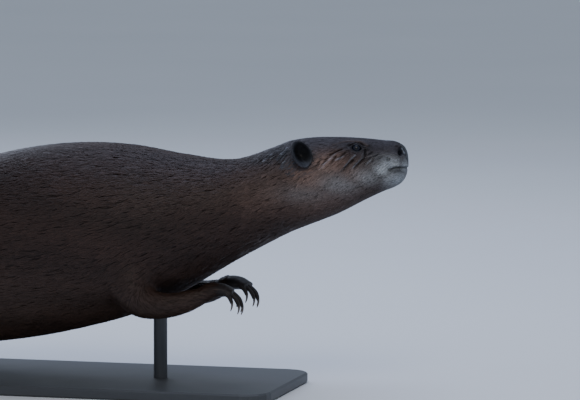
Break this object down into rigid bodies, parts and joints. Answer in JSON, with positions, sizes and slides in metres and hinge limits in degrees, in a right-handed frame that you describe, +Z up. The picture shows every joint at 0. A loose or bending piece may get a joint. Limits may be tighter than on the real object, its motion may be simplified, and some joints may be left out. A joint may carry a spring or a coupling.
{
  "type": "beaver",
  "caption": "Life-size still model of a wet swimming beaver with its head turned a little, held over a flat base by short rods.",
  "frame": {"origin": "centre of the display base's underside, on the floor", "axes": "+X towards the beaver's nose, +Y to its left, +Z up"},
  "size_m": [1.1098, 0.3381, 0.2964],
  "materials": {
    "coat": "wet brown fur",
    "bare_skin": "wet dark skin",
    "tail_scales": "wet scaly skin",
    "eye": "glossy and opaque",
    "stand_metal": "satin dark grey"
  },
  "bodies": {
    "root": {"head": "coat", "lower_jaw": "coat", "nose": "bare_skin", "eye_left": "eye", "eye_right": "eye", "ear_left": "coat", "ear_right": "coat", "neck": "coat", "chest": "coat", "loins": "coat", "rump": "coat", "tail_root": "coat", "tail_paddle": "tail_scales", "fore_leg_left": "coat", "fore_leg_right": "coat", "fore_paw_left": "bare_skin", "fore_paw_right": "bare_skin", "haunch_left": "coat", "haunch_right": "coat", "shank_left": "coat", "shank_right": "coat", "hind_foot_left": "bare_skin", "hind_foot_right": "bare_skin", "stand_base": "stand_metal", "stand_rod_front": "stand_metal", "stand_rod_rear": "stand_metal"}
  },
  "joints": []
}
